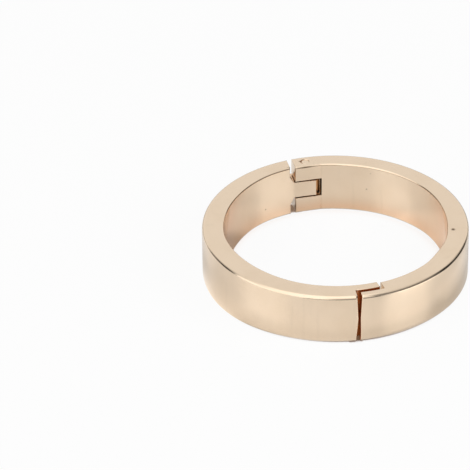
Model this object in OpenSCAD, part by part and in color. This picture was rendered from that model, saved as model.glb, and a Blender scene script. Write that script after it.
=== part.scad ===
// Hinged binder ring, closed and lying on one side face.
// The ring axis is Z and the face it lies on is at z = 0. The hinge pin
// stands on the +Y side at x = 0, and the latch is on the -Y side. The
// fork half is on +X, the tongue half on -X. All sizes are in millimetres.

/* [Band] */
// Bore of the closed ring
bore_d = 32; // [24:0.5:60]
// Radial thickness of the band
wall = 3.1; // [2.6:0.1:4.5]
// Width of the band along the ring axis
band_w = 7.8; // [6:0.1:14]
// Rounding of the two outer rims
outer_rim_r = 0.55; // [0.1:0.05:0.8]
// Rounding of the two bore rims
bore_rim_r = 0.28; // [0.05:0.01:0.6]

/* [Hinge] */
// Diameter of the hinge pin
pin_d = 1.2; // [0.8:0.1:1.4]
// Depth of each pin end below the side face
pin_recess = 0.1; // [0.02:0.02:0.3]
// Radial running gap between the pin and the tongue's bore
pin_gap = 0.04; // [0.02:0.01:0.08]
// Width of the tongue along the ring axis
tongue_w = 2.45; // [1.6:0.05:3.2]
// Gap between the tongue and each cheek
tongue_gap = 0.1; // [0.05:0.01:0.25]
// Radius of the tongue's round end about the pin
knuckle_r = 2; // [1.7:0.05:2.4]
// Gap between the tongue's round end and the floor of the slot
floor_gap = 0.1; // [0.05:0.01:0.3]
// Reach of the cheeks past the pin
cheek_reach = 1.8; // [1.2:0.05:2.2]
// Gap between the cheek ends and the shoulders of the tongue half
shoulder_gap = 0.75; // [0.6:0.05:1.2]
// Height of the gussets at the root of the tongue
gusset_h = 1.1; // [0.4:0.05:1.6]
// Half length of the flat pad on the bore side of the hinge
pad_half_len = 1.9; // [1.4:0.05:2.6]

/* [Latch] */
// Length of the lap between the two lips
lap_len = 3.45; // [2:0.05:6]
// Distance of the middle of the lap from the point opposite the pin
lap_shift = 0.45; // [-1.5:0.05:1.5]
// Radial thickness of the inner lip, to the middle of the lap gap
inner_lip_t = 1.7; // [1.2:0.05:2]
// Gap between the lips at the side faces
lap_gap = 0.5; // [0.3:0.05:0.8]
// Gap between the lips at the middle of the band
lap_pinch = 0.12; // [0.08:0.01:0.25]

/* [Hidden] */
$fn = 96;

champagne_gold = [0.88, 0.80, 0.70];
pin_gold = [0.84, 0.76, 0.66];

over = 1;                          // how far a cutter runs past a face
pad_bury = 0.4;                    // how far the pad's bar runs on in the wall
sweep_gap = 0.05;                  // room round the cheek ends as they swing
toe_gap = 0.15;                    // gap from the cheek ends to the gusset toes
bore_r = bore_d / 2;
outer_r = bore_r + wall;
mid_z = band_w / 2;
pin_y = bore_r + wall / 2;         // the pin stands in the middle of the wall
pin_chamfer = pin_d / 10;

// Hinge: the pad is a chord of the bore, and the slot takes the tongue
pad_y = sqrt(bore_r * bore_r - pad_half_len * pad_half_len);
slot_w = tongue_w + 2 * tongue_gap;
slot_floor_x = knuckle_r + floor_gap;
shoulder_x = -cheek_reach - shoulder_gap;
cheek_corner_y = max(pin_y - pad_y, wall / 2);
// The cheek ends sweep inside this radius about the pin
cheek_sweep_r = norm([cheek_reach, cheek_corner_y]) + sweep_gap;
gusset_toe_x = -cheek_reach - toe_gap;

// Latch: azimuths of the outer and inner mouths of the lap gap
split_r = bore_r + inner_lip_t;
lap_angle = lap_len / split_r * 180 / PI;
lap_mid_az = -90 + lap_shift / split_r * 180 / PI;
outer_mouth_az = lap_mid_az - lap_angle / 2;
inner_mouth_az = lap_mid_az + lap_angle / 2;
mouth_margin_az = 2 * lap_gap / split_r * 180 / PI;

// Takes the sharp corner at [x, y] off an outline; sx and sy point outwards
module corner_round(x, y, sx, sy, r) {
    translate([x - sx * r, y - sy * r])
        difference() {
            translate([min(0, 2 * sx * r), min(0, 2 * sy * r)]) square(2 * r);
            circle(r);
        }
}

// Section of the band between radii r1 and r2, with its four rims rounded
module band_section(r1, r2, inner_round, outer_round) {
    difference() {
        translate([r1, 0]) square([r2 - r1, band_w]);
        corner_round(r1, 0, -1, -1, inner_round);
        corner_round(r1, band_w, -1, 1, inner_round);
        corner_round(r2, 0, 1, -1, outer_round);
        corner_round(r2, band_w, 1, 1, outer_round);
    }
}

// The whole band as one closed ring, before it is parted into halves
module whole_band() {
    rotate_extrude() band_section(bore_r, outer_r, bore_rim_r, outer_rim_r);
}

// Flat on the bore side of the hinge: a straight bar along a chord, whose
// ends run on inside the wall
module hinge_pad() {
    bar_half_len = pad_half_len + pad_bury;
    intersection() {
        translate([-bar_half_len, 0, 0])
            rotate([90, 0, 90])
                linear_extrude(2 * bar_half_len)
                    band_section(pad_y, pin_y, bore_rim_r, bore_rim_r);
        translate([0, 0, -over]) cylinder(r = outer_r, h = band_w + 2 * over);
    }
}

// Part of a ring between two radii and two azimuths, through the band
module sector(r1, r2, az1, az2) {
    translate([0, 0, -over])
        rotate_extrude(angle = az2 - az1, start = az1)
            translate([r1, 0]) square([r2 - r1, band_w + 2 * over]);
}

// Half the width of the lap gap at a distance dz from the middle of the band
function gap_half(dz) =
    (lap_pinch + (lap_gap - lap_pinch) * dz / mid_z) / 2;

// Outline across the lap gap: wide at the faces, pinched in the middle
module gap_outline() {
    face = gap_half(mid_z + over);
    pinch = gap_half(0);
    polygon([
        [-face, -over], [face, -over], [pinch, mid_z],
        [face, band_w + over], [-face, band_w + over], [-pinch, mid_z]
    ]);
}

// Radial mouth of the lap gap at one azimuth, between two radii
module gap_mouth(az, r1, r2) {
    rotate([0, 0, az])
        translate([r1, 0, 0])
            rotate([90, 0, 90]) linear_extrude(r2 - r1) gap_outline();
}

// Stretch of the lap gap that runs round the ring
module gap_arc(az1, az2) {
    rotate_extrude(angle = az2 - az1, start = az1)
        translate([split_r, 0]) gap_outline();
}

// Square corner where a mouth meets the arc of the lap gap
module gap_corner(az) {
    intersection() {
        gap_mouth(az, split_r - 2 * lap_gap, split_r + 2 * lap_gap);
        gap_arc(az - mouth_margin_az, az + mouth_margin_az);
    }
}

// The whole Z-shaped gap of the latch
module lap_gap_void() {
    gap_mouth(outer_mouth_az, split_r, outer_r + over);
    gap_mouth(inner_mouth_az, bore_r - over, split_r);
    gap_arc(outer_mouth_az, inner_mouth_az);
    gap_corner(outer_mouth_az);
    gap_corner(inner_mouth_az);
}

// Room on one side of a plane x = edge, on the hinge side of the ring
module hinge_side(edge, side) {
    reach = outer_r + over;
    translate([side > 0 ? edge : -reach, 0, -over])
        cube([side > 0 ? reach - edge : reach + edge, reach,
              band_w + 2 * over]);
}

// Room that the fork half has, up to the middle of the lap gap
module fork_room() {
    hinge_side(-cheek_reach, 1);
    sector(bore_r - over, outer_r + over, inner_mouth_az, 0);
    sector(split_r, outer_r + over, outer_mouth_az, inner_mouth_az);
}

// Room that the tongue half has, up to the middle of the lap gap
module tongue_room() {
    hinge_side(shoulder_x, -1);
    sector(bore_r - over, outer_r + over, 180, 360 + outer_mouth_az);
    sector(bore_r - over, split_r, outer_mouth_az, inner_mouth_az);
}

// Round hole on the pin's axis
module pin_hole(r) {
    translate([0, pin_y, -over]) cylinder(r = r, h = band_w + 2 * over);
}

// Slot between the cheeks, open towards the tongue half
module tongue_slot() {
    translate([-cheek_reach - over, bore_r - wall, mid_z - slot_w / 2])
        cube([slot_floor_x + cheek_reach + over, 3 * wall, slot_w]);
}

// Plan of the tongue: straight from the shoulders, round about the pin
module tongue_plan() {
    translate([shoulder_x - over, bore_r - wall])
        square([over - shoulder_x, 3 * wall]);
    translate([0, pin_y]) circle(knuckle_r);
}

// Sloping gussets above and below the root of the tongue
module gussets() {
    difference() {
        translate([0, bore_r + 2 * wall, mid_z])
            rotate([90, 0, 0])
                linear_extrude(3 * wall)
                    polygon([
                        [shoulder_x - over, -tongue_w / 2 - gusset_h],
                        [shoulder_x, -tongue_w / 2 - gusset_h],
                        [gusset_toe_x, -tongue_w / 2],
                        [gusset_toe_x, tongue_w / 2],
                        [shoulder_x, tongue_w / 2 + gusset_h],
                        [shoulder_x - over, tongue_w / 2 + gusset_h]
                    ]);
        pin_hole(cheek_sweep_r);
    }
}

// Tongue with its round end and gussets, trimmed to the band
module tongue() {
    intersection() {
        union() {
            whole_band();
            hinge_pad();
        }
        union() {
            translate([0, 0, mid_z - tongue_w / 2])
                linear_extrude(tongue_w) tongue_plan();
            gussets();
        }
    }
}

// Half with the two cheeks of the hinge and the outer lip of the latch
module fork_half() {
    color(champagne_gold)
        difference() {
            intersection() {
                union() {
                    whole_band();
                    hinge_pad();
                }
                fork_room();
            }
            tongue_slot();
            pin_hole(pin_d / 2);
            lap_gap_void();
        }
}

// Half with the tongue of the hinge and the inner lip of the latch
module tongue_half() {
    color(champagne_gold)
        difference() {
            union() {
                intersection() {
                    whole_band();
                    tongue_room();
                }
                tongue();
            }
            pin_hole(pin_d / 2 + pin_gap);
            lap_gap_void();
        }
}

// Straight pin, pressed into the cheeks, with chamfered ends
module hinge_pin() {
    pin_r = pin_d / 2;
    color(pin_gold)
        translate([0, pin_y, 0])
            rotate_extrude()
                polygon([
                    [0, pin_recess], [pin_r - pin_chamfer, pin_recess],
                    [pin_r, pin_recess + pin_chamfer],
                    [pin_r, band_w - pin_recess - pin_chamfer],
                    [pin_r - pin_chamfer, band_w - pin_recess],
                    [0, band_w - pin_recess]
                ]);
}

fork_half();
tongue_half();
hinge_pin();
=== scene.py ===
"""Hinged binder ring in light gold plate, lying closed on a pale table.

Two cast halves meet at a fork-and-tongue hinge and a lapped latch. Each
piece is made again here as a dressed surface and rides on its CAD body. All
sizes are in millimetres, and meshes are written in metres.
"""

import logging
import math
from collections.abc import Callable
from dataclasses import dataclass, field
from enum import Enum
from typing import Any

import bpy
import numpy as np
from mathutils import Matrix, Vector
from mathutils.geometry import delaunay_2d_cdt


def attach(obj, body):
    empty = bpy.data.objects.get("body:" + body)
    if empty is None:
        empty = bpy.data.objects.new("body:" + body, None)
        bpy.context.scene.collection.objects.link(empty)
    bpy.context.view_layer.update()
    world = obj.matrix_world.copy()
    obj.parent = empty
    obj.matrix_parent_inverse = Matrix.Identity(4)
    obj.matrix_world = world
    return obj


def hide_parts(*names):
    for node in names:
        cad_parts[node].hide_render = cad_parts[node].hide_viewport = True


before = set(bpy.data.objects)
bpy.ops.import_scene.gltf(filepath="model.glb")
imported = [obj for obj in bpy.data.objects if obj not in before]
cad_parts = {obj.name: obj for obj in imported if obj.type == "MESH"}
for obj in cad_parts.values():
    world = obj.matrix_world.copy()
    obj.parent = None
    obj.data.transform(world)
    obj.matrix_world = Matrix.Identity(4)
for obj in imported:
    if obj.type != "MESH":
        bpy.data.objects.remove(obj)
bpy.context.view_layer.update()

LOG = logging.getLogger("binder_ring")
MM = 0.001
UP = np.array([0.0, 0.0, 1.0])
# Each corner's crevice share, from which the plating paints shade.
CREVICE = "crevice"  # the mesh attribute that the plating reads
WELD = 1e-4  # corners closer than this become one
PROBE = 1e-3  # half the step of a central difference
CORNER_STEPS = 6
ROUND = 40
PIT_ROUND = 16
Array = np.ndarray


# Geometry


@dataclass(frozen=True)
class Line:
    """Straight stretch of a plan outline.

    Its points p satisfy p . normal = offset, and an inset moves them
    against the outward normal: p . normal = offset - inset.
    """

    normal: tuple[float, float]
    offset: float

    def normals(self, points: Array) -> Array:
        """Outward plan normal at each point: the same everywhere."""
        return np.broadcast_to(np.array(self.normal), points.shape)

    def between(self, start: Array, end: Array, count: int) -> Array:
        """Evenly spaced points from start to end, one row per level."""
        share = np.linspace(0.0, 1.0, count)[None, :, None]
        return start[:, None, :] * (1.0 - share) + end[:, None, :] * share


@dataclass(frozen=True)
class Arc:
    """Round stretch of a plan outline about a centre.

    Its points lie at radius - side * inset from the centre. Side is 1 where
    the metal is inside the arc and -1 where it is outside. Turn is 1 where
    the outline runs anticlockwise along it and -1 where it runs clockwise.
    """

    radius: float
    side: int
    turn: int
    centre: tuple[float, float] = (0.0, 0.0)

    def normals(self, points: Array) -> Array:
        """Outward plan normal: the unit radius at each point, times side."""
        spoke = points - np.array(self.centre)
        return self.side * spoke / np.linalg.norm(spoke, axis=-1, keepdims=True)

    def between(self, start: Array, end: Array, count: int) -> Array:
        """Places points at evenly spaced angles, with the radius evenly changed.

        Args:
            start: Where each row starts.
            end: Where each row ends.
            count: Points in each row.

        Returns:
            The points, levels by count by 2.
        """
        centre = np.array(self.centre)
        a, b = start - centre, end - centre
        first = np.arctan2(a[:, 1], a[:, 0])
        sweep = (np.arctan2(b[:, 1], b[:, 0]) - first) * self.turn
        sweep = self.turn * np.mod(sweep, 2.0 * math.pi)
        share = np.linspace(0.0, 1.0, count)[None, :]
        angle = first[:, None] + sweep[:, None] * share
        radius = np.linalg.norm(a, axis=1)[:, None] * (1.0 - share)
        radius = radius + np.linalg.norm(b, axis=1)[:, None] * share
        spoke = np.stack([np.cos(angle), np.sin(angle)], axis=-1)
        return centre + radius[..., None] * spoke


Curve = Line | Arc


def meet(a: Curve, a_inset: Array, b: Curve, b_inset: Array, hint: Array) -> Array:
    """Finds where two inset curves cross, once for each level.

    Two lines cross where both dot products hold. A line and a circle cross
    at the foot of the centre on the line, plus or minus the half chord. Two
    circles cross on their radical line, by the same half chord.

    Args:
        a, b: The curves.
        a_inset, b_inset: Their insets at each level.
        hint: A plan point near the wanted crossing.

    Returns:
        The crossing nearest to the hint, as an array of levels by 2.
    """
    if isinstance(a, Arc) and isinstance(b, Line):
        return meet(b, b_inset, a, a_inset, hint)
    if isinstance(a, Line) and isinstance(b, Line):
        matrix = np.array([a.normal, b.normal])
        right = np.stack([a.offset - a_inset, b.offset - b_inset], axis=-1)
        return right @ np.linalg.inv(matrix).T
    circle = np.array(b.centre)
    radius = b.radius - b.side * b_inset
    if isinstance(a, Line):
        normal = np.array(a.normal)
        reach = a.offset - a_inset - normal @ circle
    else:
        other = np.array(a.centre)
        apart = np.linalg.norm(other - circle)
        normal = (other - circle) / apart
        a_radius = a.radius - a.side * a_inset
        reach = (radius**2 - a_radius**2 + apart**2) / (2.0 * apart)
    along = np.array([-normal[1], normal[0]])
    half = np.sqrt(np.maximum(radius**2 - reach**2, 0.0))
    foot = circle + reach[:, None] * normal
    plus = foot + half[:, None] * along
    minus = foot - half[:, None] * along
    nearer = np.linalg.norm(plus - hint, axis=1) < np.linalg.norm(minus - hint, axis=1)
    return np.where(nearer[:, None], plus, minus)


@dataclass(frozen=True)
class Levels:
    """Rows of a side wall from low to high.

    Fixed rows have a height and, near a soft edge, an edge angle. Rim rows
    then climb a quarter circle of each stretch's own radius to the top.
    """

    heights: tuple[float, ...]
    edge_angles: tuple[float, ...]
    top: float
    middle: float
    rim_steps: int = 9

    @property
    def rim_angles(self) -> Array:
        """Rim angle of every row: 0 on the wall, up to 90 degrees on top."""
        rim = np.linspace(0.0, math.pi / 2.0, self.rim_steps)
        return np.concatenate([np.zeros(len(self.heights)), rim])

    @property
    def edges(self) -> Array:
        """Soft-edge angle of every row."""
        return np.concatenate([np.array(self.edge_angles), np.zeros(self.rim_steps)])

    @property
    def sides(self) -> Array:
        """Where each row takes its slope: -1 below it, at a fold, else 1 above."""
        fold = np.diff(np.array(self.heights), append=self.top) == 0.0
        return np.concatenate([np.where(fold, -1.0, 1.0), np.ones(self.rim_steps)])

    def z(self, rim: float) -> Array:
        """Height of every row: top - rim * (1 - sin a) on the rim.

        Args:
            rim: Radius of the rim.

        Returns:
            The heights, as a column.
        """
        rim_rows = self.rim_angles[len(self.heights) :]
        climb = self.top - rim * (1.0 - np.sin(rim_rows))
        return np.concatenate([np.array(self.heights), climb])[:, None]


@dataclass(frozen=True)
class Stretch:
    """One curve of an outline, with how its wall is finished.

    Attributes:
        curve: The plan curve at the middle of the band.
        count: Stations along it.
        rim: Radius of its rim at the side face.
        draft: Inset gained for each millimetre away from the middle.
        soft: Share of the soft edge at its start and at its end.
        bulge: Extra reach beyond the curve, as a function of z and y.
        crevice: How far its wall lies in a crevice, from 0 to 1, which sets its painted shade.
    """

    curve: Curve
    count: int
    rim: float
    draft: float = 0.0
    soft: tuple[float, float] = (0.0, 0.0)
    bulge: Callable[[Array, Array], Array] | None = None
    crevice: float = 0.0

    def inset(self, levels: Levels, edge: float, soft: float, y: float) -> Array:
        """Inset of its wall at every row.

        It is the draft times the height above the middle, plus the rim's
        quarter circle r * (1 - cos a), plus the soft edge, less the bulge.

        Args:
            levels: The rows.
            edge: Radius of the soft edge.
            soft: Share of it that the wall has here.
            y: Where the bulge is read.

        Returns:
            One inset for each row.
        """
        z = levels.z(self.rim)[:, 0]
        plain = self.draft * (z - levels.middle)
        plain = plain + self.rim * (1.0 - np.cos(levels.rim_angles))
        plain = plain + edge * soft * (1.0 - np.cos(levels.edges))
        return plain if self.bulge is None else plain - self.bulge(z, np.array(y))

    def bulged(self, plan: Array, levels: Levels) -> tuple[Array, Array]:
        """Moves its points out by its bulge, along X.

        Args:
            plan: The points at every row.
            levels: The rows.

        Returns:
            The points, and how fast the reach grows along y and z.
        """
        z, y = levels.z(self.rim), plan[..., 1]
        beside = z + levels.sides[:, None] * 2.0 * PROBE
        by_y = self.bulge(z, y + PROBE) - self.bulge(z, y - PROBE)
        by_z = self.bulge(beside + PROBE, y) - self.bulge(beside - PROBE, y)
        rim_in = self.rim * (1.0 - np.cos(levels.rim_angles))[:, None]
        x = self.curve.normal[0] * (self.curve.offset + self.bulge(z, y) - rim_in)
        return np.stack([x, y], axis=-1), np.stack([by_y, by_z], axis=-1) / (2.0 * PROBE)


@dataclass(frozen=True)
class Joint:
    """How one stretch passes into the next.

    A positive round is an outer corner, a negative one an inner corner, and
    zero a fold. With a cut line, the stretches part at that line.
    """

    hint: tuple[float, float]
    round: float = 0.0
    cut: Line | None = None


def raised(plan: Array, z: Array) -> Array:
    """Adds a third column to plan points or vectors."""
    return np.concatenate([plan, np.broadcast_to(z, plan.shape[:-1])[..., None]], axis=-1)


def corners(places: Array, normals: Array, crevices: Array | float = 0.0) -> Array:
    """Joins places, normals and crevices, which set the painted shade, into rows of seven numbers.
    """
    depth = np.asarray(crevices, dtype=float)
    return raised(np.concatenate([places, np.broadcast_to(normals, places.shape)], -1), depth)


def side_wall(
    stretches: list[Stretch], joints: list[Joint], levels: Levels, edge: float, closed: bool
) -> tuple[Array, list[tuple[int, int]]]:
    """Carries the wall profile along a plan outline.

    At each row every curve is moved in by its own inset, neighbours are
    trimmed where they meet, and a conic arc rounds the corner between them.

    Args:
        stretches: The curves in order, with the metal on their left.
        joints: The joint after each stretch. An open outline has one more
            in front, where its first stretch starts.
        levels: The rows.
        edge: Radius of the soft edge.
        closed: Whether the last stretch joins the first.

    Returns:
        The corners, rows by stations by 7, and each stretch's first and
        last station.
    """
    total = len(stretches)
    lead = joints if closed else joints[1:]
    zero = np.zeros(len(levels.rim_angles))

    def inset(item: Stretch, joint: Joint, end: int) -> Array:
        """Inset of a stretch at a joint: end 0 is its start and 1 its end."""
        return item.inset(levels, edge, item.soft[end], joint.hint[1])

    starts, ends, apexes = [zero] * total, [zero] * total, [zero] * total
    for i, joint in enumerate(lead):
        a, b = stretches[i], stretches[(i + 1) % total]
        hint = np.array(joint.hint)
        ia, ib = inset(a, joint, 1), inset(b, joint, 0)
        if joint.cut is not None:
            ends[i] = meet(a.curve, ia, joint.cut, zero, hint)
            starts[(i + 1) % total] = meet(b.curve, ib, joint.cut, zero, hint)
            continue
        apexes[i] = meet(a.curve, ia, b.curve, ib, hint)
        ends[i] = meet(a.curve, ia, b.curve, ib + joint.round, hint)
        starts[(i + 1) % total] = meet(a.curve, ia + joint.round, b.curve, ib, hint)
    if not closed:
        a, joint = stretches[0], joints[0]
        hint = np.array(joint.hint)
        starts[0] = meet(a.curve, inset(a, joint, 0), joint.cut, zero, hint)

    columns: list[Array] = []
    spans: list[tuple[int, int]] = []
    rim_sin, rim_cos = np.sin(levels.rim_angles)[:, None], np.cos(levels.rim_angles)[:, None]
    edge_sin, edge_cos = np.sin(levels.edges)[:, None], np.cos(levels.edges)[:, None]

    def add(
        plan: Array, z: Array, outward: Array, soft: Array, draft: Array, crevice: Array
    ) -> None:
        """Adds stations. Their normals tip up with the rim, soft edge and draft.

        Args:
            plan: Plan points, levels by stations by 2.
            z: Their heights.
            outward: Outward plan normals.
            soft: Shares of the soft edge.
            draft: Inset gained for each millimetre away from the middle.
            crevice: How far the stations lie in a crevice, which sets their painted shade.
        """
        tilt = rim_sin + edge_sin * soft
        level = np.sqrt(np.maximum(1.0 - tilt**2, 0.0))[..., None]
        normal = raised(outward * level, tilt + draft * rim_cos * edge_cos)
        # Painted shade: the crevice share, fading up the rim, and the turned-in soft edges of the
        # slot.
        depth = np.maximum(crevice * rim_cos, np.sqrt(np.abs(edge_sin)) * soft)
        columns.append(corners(raised(plan, z), normal, depth))

    station = 0
    for i, item in enumerate(stretches):
        plan = item.curve.between(starts[i], ends[i], item.count)
        outward = item.curve.normals(plan)
        slope = np.zeros(2)
        if item.bulge is not None:
            plan, slope = item.bulged(plan, levels)
        soft = np.linspace(*item.soft, item.count)[None, :]
        add(plan, levels.z(item.rim), outward, soft, item.draft, item.crevice)
        columns[-1][..., 4:6] -= slope * rim_cos[..., None]
        spans.append((station, station + item.count - 1))
        station += item.count
        if lead[i].round == 0.0:
            continue
        follower = stretches[(i + 1) % total]
        p0, p1, mid = (p[:, None] for p in (ends[i], starts[(i + 1) % total], apexes[i]))
        begin, finish = item.curve.normals(p0), follower.curve.normals(p1)
        t = np.linspace(0.0, 1.0, CORNER_STEPS + 2)[1:-1][None, :, None]
        half_cos = (1.0 + (begin * finish).sum(axis=-1, keepdims=True)) / 2.0
        weights = (1.0 - t) ** 2, 2.0 * np.sqrt(np.maximum(half_cos, 0.05)) * t * (1.0 - t), t**2
        plan = (weights[0] * p0 + weights[1] * mid + weights[2] * p1) / sum(weights)
        turned = begin * (1.0 - t) + finish * t
        turned = turned / np.linalg.norm(turned, axis=-1, keepdims=True)
        ease = t[..., 0] ** 2 * (3.0 - 2.0 * t[..., 0])
        z, soft, draft = (
            a * (1.0 - ease) + b * ease
            for a, b in (
                (levels.z(item.rim), levels.z(follower.rim)),
                (item.soft[1], follower.soft[0]),
                (item.draft, follower.draft),
            )
        )
        # Round a corner the painted crevice shade comes in late from each side.
        depth = item.crevice * (1.0 - ease) ** 3 + follower.crevice * ease**3
        add(plan, z, turned, soft, draft, depth)
        station += CORNER_STEPS
    sheet = np.concatenate(columns, axis=1)
    sheet[..., 3:6] /= np.linalg.norm(sheet[..., 3:6], axis=-1, keepdims=True)
    return sheet, spans


def circle(centre: Array, radius: float, count: int) -> Array:
    """Points of a circle, anticlockwise, count by 2."""
    angle = np.arange(count) * 2.0 * math.pi / count
    return centre + radius * np.stack([np.cos(angle), np.sin(angle)], axis=-1)


def spun(
    centre: Array, profile: Any, side: int, crevice: Array | float = 0.0, count: int = ROUND
) -> Array:
    """Spins a profile about an upright axis.

    Args:
        centre: Plan centre of the axis.
        profile: Radius, height and shift along +X of each row, bottom up.
        side: 1 where the metal is inside the profile, -1 round a hole.
        crevice: How far each station lies in a crevice, from 0 to 1, which sets its painted shade.
        count: Faces round the axis.

    Returns:
        The corners, with the stations in the order that makes the faces
        look away from the metal.
    """
    rows = np.array(profile)
    angle = side * np.arange(count + 1) * 2.0 * math.pi / count
    spoke = np.stack([np.cos(angle), np.sin(angle)], axis=-1)
    plan = centre + rows[:, None, :1] * spoke + rows[:, None, 2:] * np.array([1.0, 0.0])
    slope = np.gradient(rows[:, :2], axis=0)
    slope = side * slope / np.linalg.norm(slope, axis=1, keepdims=True)
    normal = raised(slope[:, None, 1:] * spoke, -slope[:, None, 0])
    return corners(raised(plan, rows[:, None, 1]), normal, crevice)


class Shell:
    """Gathers faces with their own corner normals and welds them into a mesh.

    Every face has four corners. A triangle has its last corner twice.
    """

    def __init__(self) -> None:
        """Starts with no faces."""
        self.faces: list[Array] = []

    def grid(self, sheet: Array, wrap: bool = False) -> None:
        """Adds the quads of a grid of corners.

        Args:
            sheet: Rows by stations by 7. Stations run anticlockwise round
                the metal and rows run upwards.
            wrap: Whether the last station joins the first.
        """
        if wrap:
            sheet = np.concatenate([sheet, sheet[:, :1]], axis=1)
        round_quad = (sheet[:-1, :-1], sheet[:-1, 1:], sheet[1:, 1:], sheet[1:, :-1])
        self.faces.append(np.stack(round_quad, axis=2).reshape(-1, 4, 7))

    def flat(
        self,
        loop: Array,
        z: float,
        up: int,
        holes: tuple[tuple[Array, float, int], ...] = (),
        crevice: float = 0.0,
    ) -> None:
        """Adds a level face inside a loop of plan points, with round holes.

        The loop and the holes are triangulated together, and triangles whose
        middle lies inside a hole are left out.

        Args:
            loop: The outer boundary, points by 2.
            z: Height of the face.
            up: 1 where it faces up, -1 where it faces down.
            holes: For each hole its centre, its radius and its corner count.
            crevice: How far the face lies in a crevice, from 0 to 1, which sets its painted shade.
        """
        keep = np.linalg.norm(loop - np.roll(loop, 1, axis=0), axis=1) > WELD
        rings = [loop[keep]] + [circle(*hole) for hole in holes]
        edges: list[list[int]] = []
        for ring in rings:
            index = np.arange(len(ring)) + len(edges)
            edges += np.stack([index, np.roll(index, -1)], axis=1).tolist()
        plan = [Vector(p) for p in np.concatenate(rings).tolist()]
        found = delaunay_2d_cdt(plan, edges, [], 1, 1e-6)
        spots = np.array([tuple(v) for v in found[0]])
        tri = spots[np.array(found[2])]
        for centre, radius, count in holes:
            away = np.linalg.norm(tri.mean(axis=1) - centre, axis=1)
            tri = tri[away > radius * math.cos(math.pi / count)]
        side = np.cross(tri[:, 1] - tri[:, 0], tri[:, 2] - tri[:, 0])
        tri = np.where((side * up > 0)[:, None, None], tri, tri[:, ::-1])
        self.faces.append(corners(raised(tri, z), UP * up, crevice)[:, [0, 1, 2, 2]])

    def mirrored(self, middle: float) -> None:
        """Adds the image of every face below a level.

        Args:
            middle: Height of the level.
        """
        turn = np.array([1.0, 1.0, -1.0, 1.0, 1.0, -1.0, 1.0])
        rise = np.array([0.0, 0.0, 2.0 * middle, 0.0, 0.0, 0.0, 0.0])
        self.faces += [face[:, ::-1] * turn + rise for face in self.faces]

    def build(self, name: str, shape: Callable[[Array], Array] | None = None) -> bpy.types.Object:
        """Welds the faces and makes the object.

        Corners closer than the weld distance become one vertex, and a quad
        that has lost a side becomes a triangle.

        Args:
            name: The piece's name.
            shape: Moves the finished corners, where the casting is uneven.

        Returns:
            The object, at the origin.
        """
        faces = np.concatenate(self.faces)
        places = faces[..., :3].reshape(-1, 3)
        if shape is not None:
            places = shape(places)
        keys = np.round(places / WELD).astype(np.int64)
        _, first, index = np.unique(keys, axis=0, return_index=True, return_inverse=True)
        index = index.reshape(-1, 4)
        lost = index == np.roll(index, -1, axis=1)
        whole = ~lost.any(axis=1) & (index[:, :2] != index[:, 2:]).all(axis=1)
        pinched = lost.sum(axis=1) == 1
        left = ~lost[pinched]
        quads, triangles = index[whole], index[pinched][left].reshape(-1, 3)
        loops = np.concatenate([faces[whole].reshape(-1, 7), faces[pinched][left]])
        mesh = bpy.data.meshes.new(name)
        mesh.from_pydata((places[first] * MM).tolist(), [], quads.tolist() + triangles.tolist())
        mesh.polygons.foreach_set("use_smooth", np.ones(len(mesh.polygons), dtype=bool))
        mesh.normals_split_custom_set(loops[:, 3:6].tolist())
        # The painted crevice shade rides on every corner.
        depth = mesh.attributes.new(CREVICE, "FLOAT", "CORNER")
        depth.data.foreach_set("value", loops[:, 6].tolist())
        mesh.update()
        piece = bpy.data.objects.new(name, mesh)
        bpy.context.scene.collection.objects.link(piece)
        return piece


# Sizes


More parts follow.
